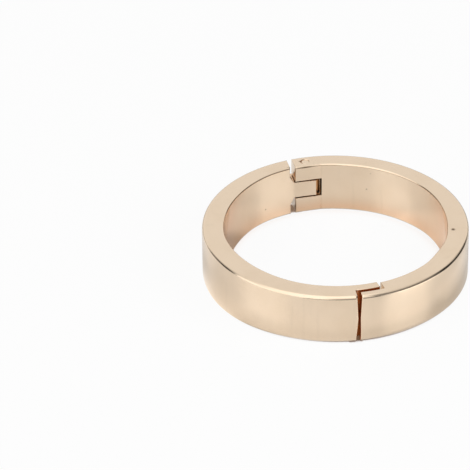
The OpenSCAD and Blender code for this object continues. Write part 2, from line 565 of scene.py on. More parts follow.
@dataclass(frozen=True)
class RingSizes:
    """Sizes that the halves and the pin share, most of them the solids' own."""

    bore_r: float = 16.0
    outer_r: float = 19.1
    width: float = 7.8
    outer_rim: float = 0.55
    bore_rim: float = 0.28
    edge_rim: float = 0.12
    soft_edge: float = 0.08
    pin_y: float = 17.55
    pin_r: float = 0.6
    pin_gap: float = 0.04
    pin_mouth: float = 0.08
    pin_shift: float = -0.08
    mouth_depth: float = 0.12
    tongue_half: float = 1.23
    slot_half: float = 1.45
    crease: float = 0.04
    pit_r: float = 0.13
    pit_at: tuple[float, float] = (15.94, -5.46)
    knuckle_r: float = 2.08
    slot_floor: float = 2.1
    cheek_reach: float = 1.8
    shoulder: float = 2.55
    gusset_toe: float = 1.95
    gusset_rise: float = 1.1
    cheek_sweep: float = 2.5
    pad_half: float = 1.9
    split_r: float = 17.7
    lap_len: float = 3.45
    lap_shift: float = 0.45
    gap_face: float = 0.60
    gap_pinch: float = 0.24
    lip_reach: float = 0.17
    mouth_round: float = 0.25
    lap_round: float = 0.15
    tip_round: float = 0.12

    @property
    def middle(self) -> float:
        """Height of the middle plane of the band."""
        return self.width / 2.0

    @property
    def pad_y(self) -> float:
        """The flat on the bore side of the hinge is a chord at this y."""
        return math.sqrt(self.bore_r**2 - self.pad_half**2)

    @property
    def tongue_tip(self) -> float:
        """Where the tongue's round end meets the flat on the bore side."""
        return math.sqrt(self.knuckle_r**2 - (self.pin_y - self.pad_y) ** 2)

    @property
    def pin_at(self) -> Array:
        """Plan centre of the pin."""
        return np.array([0.0, self.pin_y])

    def lip(self, side: int, reach: float) -> tuple[list[Stretch], list[Joint]]:
        """Latch end of a half: two mouths of the lap gap and the lap between.

        Args:
            side: 1 on the tongue half, which runs from the outer wall to the
                bore, and -1 on the fork half, which runs back.
            reach: How far the lip reaches into the mouth in the bore.

        Returns:
            Its three stretches, and the joints before, between and after.
        """
        half = self.gap_pinch / 2.0
        draft = (self.gap_face - self.gap_pinch) / self.width
        outer, inner = (
            (self.lap_shift + way * self.lap_len / 2.0) / self.split_r - math.pi / 2.0
            for way in (-1, 1)
        )
        lap = Arc(self.split_r - side * half, side, side)
        stretches = [
            # The lap gap's faces take painted crevice shade.
            Stretch(Line(across(outer, side), -half), 6, self.edge_rim, draft, crevice=0.5),
            Stretch(lap, 14, self.edge_rim, draft, crevice=0.5),
            Stretch(Line(across(inner, side), reach - half), 6, self.edge_rim, draft),
        ]
        joints = [
            Joint(polar(self.outer_r, outer), self.mouth_round),
            Joint(polar(self.split_r, outer), -side * self.lap_round),
            Joint(polar(self.split_r, inner), side * self.lap_round),
            Joint(polar(self.bore_r, inner), self.tip_round),
        ]
        return stretches[::side], joints[::side]


def polar(radius: float, azimuth: float) -> tuple[float, float]:
    """Plan point at a radius and an azimuth in radians."""
    return radius * math.cos(azimuth), radius * math.sin(azimuth)


def across(azimuth: float, sense: int) -> tuple[float, float]:
    """Unit plan vector square to the spoke at an azimuth; 1 is anticlockwise."""
    return -sense * math.sin(azimuth), sense * math.cos(azimuth)


@dataclass(frozen=True)
class Bump:
    """Smooth swell round the ring: size * (1 - (turn / half) squared) squared.

    The turn is measured from its centre, and both are in degrees.
    """

    centre: float
    half: float
    size: float

    def at(self, azimuth: Array) -> Array:
        """Size of the swell at each azimuth, in degrees."""
        turn = np.mod(azimuth - self.centre + 180.0, 360.0) - 180.0
        return self.size * np.clip(1.0 - (turn / self.half) ** 2, 0.0, 1.0) ** 2


@dataclass(frozen=True)
class Casting:
    """How a cast half strays from the round.

    Attributes:
        bore: Outward shift of the bore, the same at every height.
        lean: Outward shift of the bore that grows from nothing at z = 0.
        rim: Gain in radius of the lower outer rim.
        skew: Shift round the ring at z = 0, which is gone at the middle.
        hold: How deep in the wall the bore's shift holds.
        fade: Over how much more of the wall it fades.
        rise: Over how much height the wall takes up a rim's gain.
    """

    bore: tuple[Bump, ...]
    lean: tuple[Bump, ...]
    rim: tuple[Bump, ...]
    skew: tuple[Bump, ...] = (Bump(-95.0, 16.0, -0.12),)
    hold: float = 0.3
    fade: float = 0.55
    rise: float = 2.0
    sizes: RingSizes = field(default_factory=RingSizes)

    def shaped(self, points: Array) -> Array:
        """Moves the points of a half.

        A rim point at angle a from the wall moves with its rim's new centre,
        in by gain * (1 - cos a) and up by gain * (1 - sin a).

        Args:
            points: Places of the half's corners, n by 3.

        Returns:
            The moved places.
        """
        s = self.sizes
        x, y, z = points.T
        radius = np.hypot(x, y)
        azimuth = np.degrees(np.arctan2(y, x))
        bore, lean, gain, skew = (
            sum(bump.at(azimuth) for bump in bumps)
            for bumps in (self.bore, self.lean, self.rim, self.skew)
        )
        depth = np.clip((radius - s.bore_r - self.hold) / self.fade, 0.0, 1.0)
        shift = (1.0 - depth**2 * (3.0 - 2.0 * depth)) * (bore + lean * z / s.width)
        inner = s.outer_r - s.outer_rim
        outer = np.clip((radius - inner) / s.outer_rim, 0.0, 1.0)
        low = np.clip(z / s.outer_rim, 0.0, 1.0)
        past = np.clip((z - s.outer_rim) / self.rise, 0.0, 1.0)
        on_rim = (radius > inner - WELD) & (low < 1.0)
        shift = shift - np.where(on_rim, gain * (1.0 - outer), 0.0)
        climb = np.where(radius > inner - WELD, gain * low * (1.0 - past), 0.0)
        scale = 1.0 + shift / radius
        turn = skew * np.clip(1.0 - z / s.middle, 0.0, 1.0) / radius
        return np.stack([(x - y * turn) * scale, (y + x * turn) * scale, z + climb], axis=1)


# Halves and pin


@dataclass
class ForkHalf:
    """Half with the two cheeks of the hinge and the outer lip of the latch."""

    sizes: RingSizes = field(default_factory=RingSizes)
    casting: Casting = Casting(
        bore=(
            Bump(0.0, 720.0, 0.28),
            Bump(-8.0, 34.0, -0.30),
            Bump(-40.0, 14.0, -0.2),
            Bump(88.0, 18.0, 0.08),
        ),
        lean=(Bump(0.0, 22.0, 0.08),),
        rim=(Bump(275.0, 70.0, 0.42),),
    )
    name: str = "ForkHalf"

    def levels(self) -> Levels:
        """Sets the rows of the wall.

        Returns:
            Rows from the middle plane up, with the soft edge of the slot.
        """
        s = self.sizes
        bend = np.linspace(-math.pi / 2.0, 0.0, 4)
        heights = s.middle + s.slot_half + s.soft_edge * (1.0 + np.sin(bend))
        return Levels((s.middle, *heights), (0.0, *bend), s.width, s.middle)

    def outline(self) -> tuple[list[Stretch], list[Joint]]:
        """Draws the outline, anticlockwise from the tip of the outer lip.

        Returns:
            Its stretches, and the joint after each.
        """
        s = self.sizes
        outer = Arc(s.outer_r, 1, 1)
        crease = Arc(s.bore_r + s.crease, -1, -1)
        cut = Line((1.0, 0.0), s.slot_floor)
        lip_walls, lip_joints = s.lip(-1, 0.0)
        stretches = [
            Stretch(outer, 220, s.outer_rim),
            Stretch(outer, 16, s.outer_rim, soft=(0.0, 1.0)),
            Stretch(Line((-1.0, 0.0), s.cheek_reach), 6, s.edge_rim, soft=(1.0, 1.0)),
            Stretch(Line((0.0, -1.0), -s.pad_y), 8, s.bore_rim, soft=(1.0, 1.0)),
            # The crease takes a little painted shade, a darker line.
            Stretch(crease, 3, s.bore_rim, soft=(1.0, 0.0), crevice=0.12),
            Stretch(Arc(s.bore_r, -1, -1), 200, s.bore_rim),
            *lip_walls,
        ]
        joints = [
            Joint((s.slot_floor, s.outer_r), cut=cut),
            Joint((-s.cheek_reach, s.outer_r), round=0.2),
            Joint((-s.cheek_reach, s.pad_y), round=0.1),
            Joint((s.pad_half, s.pad_y), cut=Line((1.0, 0.0), s.pad_half)),
            Joint((s.slot_floor, s.bore_r), cut=cut),
            *lip_joints,
        ]
        return stretches, joints

    def build(self) -> bpy.types.Object:
        """Makes the half.

        The wall goes round the whole outline above the slot, and below it
        only where there is no slot. The slot's ceiling and floor close it.

        Returns:
            The finished piece.
        """
        s = self.sizes
        wall, spans = side_wall(*self.outline(), self.levels(), s.soft_edge, closed=True)
        shell = Shell()
        shell.grid(wall[1:], wrap=True)
        low = wall[:2].copy()
        # Below the slot the wall has no soft edge, so it keeps the middle row's painted shade.
        low[1, :, 6] = low[0, :, 6]
        first, last = spans[5][0], spans[0][1]
        shell.grid(np.concatenate([low[:, first:], low[:, : last + 1]], axis=1))
        floor = low[:, [last, first - 1, first], :3]
        shell.grid(corners(floor, np.array([-1.0, 0.0, 0.0])))

        slot_z = float(wall[1, 0, 2])
        ceiling = wall[1, last : first + 1, :2]
        over = np.flatnonzero(ceiling[:, 0] < s.tongue_tip)
        covered = ceiling[over[0] : over[-1] + 1]
        bare = np.concatenate([ceiling[: over[0] + 1], ceiling[over[-1] :]])
        # The slot's ceiling over the tongue is painted full crevice shade.
        shell.flat(covered, slot_z, -1, ((s.pin_at, s.pin_r, ROUND),), crevice=1.0)
        shell.flat(bare, slot_z, -1)
        mouth_r = s.pin_r + s.pin_mouth
        profile = [
            (s.pin_r, slot_z, 0.0),
            (s.pin_r, s.width - s.mouth_depth, 0.0),
            (mouth_r, s.width, s.pin_shift),
        ]
        # The pin's mouth wall is painted shade on its left side, fading out towards the right.
        mouth_shade = np.clip(-np.cos(np.linspace(0.0, 2.0 * math.pi, ROUND + 1)), 0.0, 1.0) ** 3
        shell.grid(spun(s.pin_at, profile, -1, mouth_shade))
        shell.mirrored(s.middle)

        face = wall[-1, :, :2]
        mouth = (s.pin_at + np.array([s.pin_shift, 0.0]), mouth_r, ROUND)
        pit_at = np.array(s.pit_at)
        shell.flat(face, s.width, 1, (mouth, (pit_at, s.pit_r, PIT_ROUND)))
        shell.flat(face, 0.0, -1, (mouth,))
        turn = np.linspace(0.0, math.pi / 2.0, 5)
        radii, heights = s.pit_r * np.sin(turn), s.width - 2.0 * s.pit_r * np.cos(turn)
        bowl = np.stack([radii, heights, np.zeros(5)], axis=1)
        # The pit's bowl is painted full crevice shade.
        shell.grid(spun(pit_at, bowl, -1, 1.0, PIT_ROUND))
        return shell.build(self.name, self.casting.shaped)


@dataclass
class TongueHalf:
    """Half with the tongue of the hinge and the inner lip of the latch."""

    sizes: RingSizes = field(default_factory=RingSizes)
    casting: Casting = Casting(
        bore=(
            Bump(90.0, 16.0, 0.2),
            Bump(106.0, 24.0, 0.2),
            Bump(152.0, 30.0, -0.48),
            Bump(208.0, 34.0, -0.16),
        ),
        lean=(Bump(98.0, 45.0, 0.26), Bump(152.0, 32.0, 0.40)),
        rim=(Bump(275.0, 70.0, 0.42), Bump(200.0, 42.0, -0.35)),
    )
    name: str = "TongueHalf"

    def gusset(self, z: Array, y: Array) -> Array:
        """Reach of the gusset beyond the shoulder at a height and a y.

        It falls off in a straight line with height above the tongue, and
        stays outside the circle that the cheek ends sweep about the pin.

        Args:
            z: Heights.
            y: Places across the wall.

        Returns:
            The reach at each of them.
        """
        s = self.sizes
        rise = np.maximum(z - s.middle - s.tongue_half, 0.0)
        slope = (s.shoulder - s.gusset_toe) * (1.0 - rise / s.gusset_rise)
        swept = np.sqrt(np.maximum(s.cheek_sweep**2 - (y - s.pin_y) ** 2, 0.0))
        return np.maximum(np.minimum(slope, s.shoulder - swept), 0.0)

    def levels(self) -> Levels:
        """Sets the rows of the wall.

        Returns:
            Rows from the middle plane up, with a fold at the gusset's head.
        """
        s = self.sizes
        foot = s.middle + s.tongue_half
        climb = np.linspace(foot, foot + s.gusset_rise, 7)
        return Levels((s.middle, *climb, climb[-1]), (0.0,) * 9, s.width, s.middle)

    def outline(self) -> tuple[list[Stretch], list[Joint]]:
        """Draws the outline above the tongue, anticlockwise from the shoulder.

        Returns:
            Its stretches, and the joint after each.
        """
        s = self.sizes
        lip_walls, lip_joints = s.lip(1, s.lip_reach)
        stretches = [
            Stretch(Arc(s.outer_r, 1, 1), 220, s.outer_rim),
            *lip_walls,
            Stretch(Arc(s.bore_r, -1, -1), 220, s.bore_rim),
            Stretch(Line((1.0, 0.0), -s.shoulder), 20, s.edge_rim, bulge=self.gusset),
        ]
        joints = [
            *lip_joints,
            Joint((-s.shoulder, s.bore_r * 0.985), round=0.05),
            Joint((-s.shoulder, s.outer_r * 0.99), round=0.2),
        ]
        return stretches, joints

    def tongue_outline(self) -> tuple[list[Stretch], list[Joint]]:
        """Draws the tongue from the bore round its end to the outside.

        Returns:
            Its stretches, and the joints before, between and after.
        """
        s = self.sizes
        knuckle = Arc(s.knuckle_r, 1, 1, (0.0, s.pin_y))
        root = Line((1.0, 0.0), -s.gusset_toe)
        stretches = [
            Stretch(Arc(s.bore_r, -1, -1), 2, 0.0),
            Stretch(Line((0.0, -1.0), -s.pad_y), 8, 0.0, soft=(0.0, 1.0)),
            Stretch(knuckle, 28, 0.0, soft=(1.0, 1.0)),
            Stretch(Arc(s.outer_r, 1, 1), 14, 0.0, soft=(1.0, 0.0)),
        ]
        joints = [
            Joint((-s.gusset_toe, s.bore_r), cut=root),
            Joint((-s.pad_half, s.pad_y)),
            Joint((s.tongue_tip, s.pad_y), round=0.02),
            Joint((1.3, s.outer_r), round=0.05),
            Joint((-s.gusset_toe, s.outer_r), cut=root),
        ]
        return stretches, joints

    def build(self) -> bpy.types.Object:
        """Makes the half: the band, then the tongue up to its own top.

        Below the tongue's top the band takes the heights of the tongue's
        rows, and the tongue's wall ends on the band's.

        Returns:
            The finished piece.
        """
        s = self.sizes
        wall, spans = side_wall(*self.outline(), self.levels(), 0.0, closed=True)
        shell = Shell()
        shell.grid(wall[1:], wrap=True)
        last = spans[4][1]
        shell.flat(wall[-1, :, :2], s.width, 1)

        foot = s.middle + s.tongue_half
        bend = np.linspace(0.0, math.pi / 2.0, 4)
        heights = foot - s.soft_edge * (1.0 - np.sin(bend))
        rows = Levels((s.middle, *heights), (0.0, *bend), foot, s.middle, rim_steps=1)
        around, _ = side_wall(*self.tongue_outline(), rows, s.soft_edge, closed=False)
        around = around[:-1]
        share = ((around[:, :1, 2:3] - s.middle) / s.tongue_half).clip(0.0, 1.0)
        band = wall[0, : last + 1] * (1.0 - share) + wall[1, : last + 1] * share
        tongue = np.concatenate([around[:, :1], around, around[:, -1:]], axis=1)
        tongue[:, [0, -1], :2] = band[:, [last, 0], :2]
        shell.grid(band)
        shell.grid(tongue)
        seam = wall[1, last:, :2]
        loop = np.concatenate([tongue[-1, :, :2], wall[1, :1, :2], seam[::-1]])
        hole_r = s.pin_r + s.pin_gap
        # The tongue's top takes a little painted crevice shade, and its pin hole's wall full
        # painted shade.
        shell.flat(loop, foot, 1, ((s.pin_at, hole_r, ROUND),), crevice=0.1)
        shell.grid(spun(s.pin_at, [(hole_r, s.middle, 0.0), (hole_r, foot, 0.0)], -1, 1.0))
        shell.mirrored(s.middle)
        return shell.build(self.name, self.casting.shaped)


@dataclass
class HingePin:
    """Straight pin through the cheeks and the tongue, with peened ends."""

    sizes: RingSizes = field(default_factory=RingSizes)
    recess: float = 0.03
    crown: float = 0.03
    edge: float = 0.08
    gap: float = 0.004
    name: str = "HingePin"

    def build(self) -> bpy.types.Object:
        """Makes the pin: a profile of radius and height spun about its axis.

        The end is a shallow crown, h = crown * (1 - (r / R) squared), whose
        edge turns down into the shank on a quarter circle.

        Returns:
            The finished piece.
        """
        s = self.sizes
        top = s.width - self.recess
        radius = s.pin_r - self.gap
        inner = radius - self.edge
        turn = np.linspace(0.0, math.pi / 2.0, 5)
        end = np.linspace(inner, 0.0, 7)[1:]
        edge_z = top - self.crown - self.edge * (1.0 - np.sin(turn))
        end_z = top - self.crown * (end / inner) ** 2
        radii = np.concatenate([[radius], inner + self.edge * np.cos(turn), end])
        heights = np.concatenate([[s.middle], edge_z, end_z])
        shell = Shell()
        profile = np.stack([radii, heights, np.zeros(len(radii))], axis=1)
        shell.grid(spun(s.pin_at, profile, 1))
        shell.mirrored(s.middle)
        return shell.build(self.name)


# Materials


def math_method(operation: str, turned: bool = False) -> Callable[["Value", Any], "Value"]:
    """Makes a method that adds a Math node.

    Args:
        operation: The node's operation.
        turned: Whether the method's argument comes first in the node.

    Returns:
        The method, which takes a value and another value or a number.
    """

    def method(self: "Value", other: Any) -> "Value":
        """Adds the node and returns its output."""
        pair = (other, self) if turned else (self, other)
        return self.board.add("ShaderNodeMath", {"operation": operation}, dict(enumerate(pair)))

    return method


class Value:
    """A shader socket that can be used in sums, as a number can."""

    def __init__(self, board: "NodeBoard", socket: bpy.types.NodeSocket) -> None:
        """Wraps one output socket of a node tree."""
        self.board = board
        self.socket = socket

    __add__ = __radd__ = math_method("ADD")
    __mul__ = __rmul__ = math_method("MULTIPLY")
    __sub__, __rsub__ = math_method("SUBTRACT"), math_method("SUBTRACT", turned=True)
    __truediv__ = math_method("DIVIDE")
    __pow__ = math_method("POWER")
    at_least = math_method("MAXIMUM")
    at_most = math_method("MINIMUM")

    def span(self, low: Any, high: Any, to_low: Any = 0.0, to_high: Any = 1.0) -> "Value":
        """Maps low..high smoothly to to_low..to_high and holds it outside."""
        inputs = {"Value": self, 1: low, 2: high, 3: to_low, 4: to_high}
        return self.board.add("ShaderNodeMapRange", {"interpolation_type": "SMOOTHSTEP"}, inputs)


class NodeBoard:
    """A node tree, filled through one method."""

    def __init__(self, owner: bpy.types.Material | bpy.types.World) -> None:
        """Turns the owner's nodes on and empties its tree.

        Args:
            owner: The material or world.
        """
        owner.use_nodes = True
        self.tree = owner.node_tree
        self.tree.nodes.clear()

    def node(self, kind: str, settings: dict[str, Any], inputs: dict[Any, Any]) -> bpy.types.Node:
        """Adds one node.

        Args:
            kind: The node's type.
            settings: Properties, which are set first.
            inputs: Values or links for its sockets, by name or number.

        Returns:
            The node.
        """
        made = self.tree.nodes.new(kind)
        for key, value in settings.items():
            setattr(made, key, value)
        for key, value in inputs.items():
            if isinstance(value, Value):
                self.tree.links.new(value.socket, made.inputs[key])
            else:
                made.inputs[key].default_value = value
        return made

    def add(
        self, kind: str, settings: dict[str, Any], inputs: dict[Any, Any], out: Any = 0
    ) -> Value:
        """Adds one node and returns one of its outputs."""
        return Value(self, self.node(kind, settings, inputs).outputs[out])

    def vector(self, operation: str, inputs: dict[Any, Any], out: str = "Vector") -> Value:
        """Adds a Vector Math node."""
        return self.add("ShaderNodeVectorMath", {"operation": operation}, inputs, out)

    def mix_colour(self, factor: Any, a: Any, b: Any) -> Value:
        """Mixes two colours."""
        return self.add("ShaderNodeMix", {"data_type": "RGBA"}, {0: factor, 6: a, 7: b}, 2)

    def noise(self, place: Value, scale: float, detail: float) -> Value:
        """Cloudy noise over a place."""
        inputs = {"Vector": place, "Scale": scale, "Detail": detail}
        return self.add("ShaderNodeTexNoise", {}, inputs)

    def openness(self, reach: float, samples: int, inputs: dict[str, Any]) -> Value:
        """How open the surroundings are within a reach, from 0 to 1."""
        inputs = {"Distance": reach * MM, **inputs}
        return self.add("ShaderNodeAmbientOcclusion", {"samples": samples}, inputs, 1)


Colour = tuple[float, float, float, float]


@dataclass(frozen=True)
class GoldPlate:
    """Polished light gold plate on cast metal.

    The colour drifts in broad clouds, and the polish leaves faint ripples
    and a roughness that comes and goes. In a crevice that is closed in, the
    colour is painted shade for the light lost there: it turns orange, and
    darker still in the deepest ones. Each dark speck is an ellipsoid, with
    its centre and its three half axes in millimetres. Most mark flaws of the
    casting; the thin one along the hinge's inner top rim is a painted dark
    reflection, and the tall one at the cheek's end in the lower hinge notch
    is painted shade.
    """

    name: str
    roughness: float = 0.17
    colour: Colour = (0.835, 0.672, 0.505, 1.0)
    deep: Colour = (0.82, 0.655, 0.485, 1.0)
    # Painted shade for crevices that are closed in, and a darker one for the deepest.
    crevice: Colour = (0.72, 0.27, 0.07, 1.0)
    gap: Colour = (0.30, 0.19, 0.09, 1.0)
    # Colour of real stains and of two specks of painted shade.
    stain_and_shade: Colour = (0.12, 0.075, 0.04, 1.0)
    cloud_scale: float = 220.0
    ripple_scale: float = 160.0
    streak_scale: float = 1100.0
    streak_stretch: float = 0.08
    streak_stain: float = 0.045
    grain_scale: float = 2600.0
    speck_and_shade_stain: float = 0.9
    # How far the painted crevice shade looks for metal that closes it in.
    crevice_reach: float = 1.4
    crevice_samples: int = 6
    crevice_rough: float = 0.35
    bump_depth: float = 0.0004
    bump_strength: float = 0.04
    specks_and_shades: tuple[tuple[float, float, float, float, float, float], ...] = (
        (8.30, 13.86, 3.9, 0.24, 0.24, 0.24),
        (8.80, 13.55, 6.7, 0.20, 0.20, 0.20),
        (-6.66, 14.68, 2.2, 0.22, 0.22, 0.22),
        (15.95, -5.55, 7.8, 0.46, 0.46, 0.46),
        (-0.80, 17.79, 7.8, 0.26, 0.26, 0.26),
        # A painted dark reflection: a thin line along the hinge's inner top rim.
        (-0.30, 16.24, 7.62, 2.2, 0.35, 0.20),
        # Painted shade at the cheek's end in the lower hinge notch.
        (-1.82, 16.24, 1.15, 0.19, 0.50, 2.2),
    )

    def speck_and_shade_mask(self, board: NodeBoard, place: Value) -> Value:
        """Masks each speck, real ones and two of painted shade.

        A point's distance from a speck's centre is divided by the speck's
        half axes, and its length runs from 0 in the middle to 1 at the edge.

        Args:
            board: The node tree.
            place: The point.

        Returns:
            1 in the middle of each speck, 0 away.
        """
        mask: Any = 0.0
        for speck in self.specks_and_shades:
            x, y, z, *halves = (size * MM for size in speck)
            off = board.vector("SUBTRACT", {0: place, 1: (x, y, z)})
            parts = board.vector("DIVIDE", {0: off, 1: tuple(halves)})
            mask = board.vector("LENGTH", {0: parts}, "Value").span(0.0, 1.0, 1.0, 0.0) + mask
        return mask.at_most(1.0)

    def material(self) -> bpy.types.Material:
        """Builds the node tree.

        Returns:
            The finished material.
        """
        made = bpy.data.materials.new(self.name)
        board = NodeBoard(made)
        place = board.add("ShaderNodeTexCoord", {}, {}, "Object")
        stretch = (1.0, 1.0, self.streak_stretch)
        drawn = board.add("ShaderNodeMapping", {}, {"Vector": place, "Scale": stretch})
        clouds = board.noise(place, self.cloud_scale, 2.0)
        ripples = board.noise(place, self.ripple_scale, 2.0)
        streaks = board.noise(drawn, self.streak_scale, 3.0)
        grain = board.noise(place, self.grain_scale, 4.0)
        plain = board.mix_colour(clouds.span(0.35, 0.7), self.colour, self.deep)
        streaked = streaks.span(0.55, 0.8) * self.streak_stain
        plain = board.mix_colour(streaked, plain, self.stain_and_shade)
        specks_and_shades = self.speck_and_shade_mask(board, place) * self.speck_and_shade_stain
        plain = board.mix_colour(specks_and_shades, plain, self.stain_and_shade)

        # Painted shade in crevices: where the mesh sets a crevice share and little is open nearby,
        # the colour turns orange, and darker still in the deepest, for the light lost there.
        deep = board.add("ShaderNodeAttribute", {"attribute_name": CREVICE}, {}, "Fac")
        deep = deep * board.openness(self.crevice_reach, self.crevice_samples, {}).span(
            0.55, 0.8, 1.0, 0.0
        )
        crevice_shade = (deep * 2.0).at_most(1.0)
        colour = board.mix_colour(crevice_shade, plain, self.crevice)
        colour = board.mix_colour((deep * 2.0 - 1.0).at_least(0.0), colour, self.gap)
        rough = clouds.span(0.3, 0.75, self.roughness - 0.03, self.roughness + 0.05)
        bump = {
            "Height": ripples * 0.6 + grain * 0.02 + streaks * 0.06,
            "Strength": self.bump_strength,
            "Distance": self.bump_depth,
        }
        finish = {
            "Base Color": colour,
            "Metallic": 1.0 - deep * 0.1,
            "Roughness": rough + crevice_shade * self.crevice_rough,
            "Normal": board.add("ShaderNodeBump", {}, bump),
        }
        shader = board.add("ShaderNodeBsdfPrincipled", {}, finish)
        board.node("ShaderNodeOutputMaterial", {}, {"Surface": shader})
        return made


# Studio


WHITE: Colour = (1.0, 1.0, 1.0, 1.0)


class Ray(Enum):
    """Kinds of ray that the studio answers in its own way."""

    CAMERA = "Is Camera Ray"
    GLOSSY = "Is Glossy Ray"
    TRANSMISSION = "Is Transmission Ray"

    @classmethod
    def masks(cls, board: NodeBoard) -> list[Value]:
        """One mask for each kind, in order."""
        path = board.node("ShaderNodeLightPath", {}, {})
        return [Value(board, path.outputs[kind.value]) for kind in cls]


class Compass:
    """Plan directions of a vector, for masks by azimuth in degrees."""

    def __init__(self, board: NodeBoard, vector: Value, shortest: float) -> None:
        """Splits a vector.

        Args:
            board: The node tree.
            vector: What to split.
            shortest: The plan length is held above this.
        """
        split = board.node("ShaderNodeSeparateXYZ", {}, {"Vector": vector})
        self.east, self.north, self.height = (Value(board, out) for out in split.outputs)
        plan = (self.east * self.east + self.north * self.north) ** 0.5
        self.length = plan.at_least(shortest)

    def along(self, azimuth: float, tilt: float = 0.0) -> Value:
        """Dot product of the vector and a direction.

        Args:
            azimuth: The direction's azimuth.
            tilt: How far it is raised above level.

        Returns:
            How far the vector reaches that way.
        """
        turn, rise = math.radians(azimuth), math.radians(tilt)
        level = math.cos(rise)
        reach = self.east * (level * math.cos(turn)) + self.north * (level * math.sin(turn))
        return reach + self.height * math.sin(rise) if tilt else reach

    def fan(self, azimuth: float, inner: float, outer: float, amount: float = 1.0) -> Value:
        """Mask that is full within inner degrees of an azimuth and gone at outer."""
        low, high = math.cos(math.radians(outer)), math.cos(math.radians(inner))
        return (self.along(azimuth) / self.length).span(low, high, 0.0, amount)

    def fans(self, *rows: tuple[float, float, float, float]) -> Value:
        """Sum of several fans."""
        return sum(self.fan(*row) for row in rows)


@dataclass(frozen=True)
class View:
    """Where the camera stands, in degrees, picture pixels and ring radii.

    Attributes:
        tilt: How steeply it looks down.
        roll: How far the picture is turned.
        turn: How far it stands round the ring from the latch's side.
        radius: Apparent radius of the ring.
        centre: Place of the ring's centre in the picture.
        half: Half the picture's width.
        ahead: Distance to the ring's centre.
    """

    tilt: float = 32.62
    roll: float = -0.60
    turn: float = 13.0
    radius: float = 132.94
    centre: tuple[float, float] = (335.18, 246.72)
    half: float = 235.0
    ahead: float = 30.6


@dataclass(frozen=True)
class Lamp:
    """Large soft lamp. Its azimuth is in degrees and its power in watts."""

    name: str
    azimuth: float
    power: float
    tilt: float = 35.0
    away: float = 0.6
    size: float = 0.4


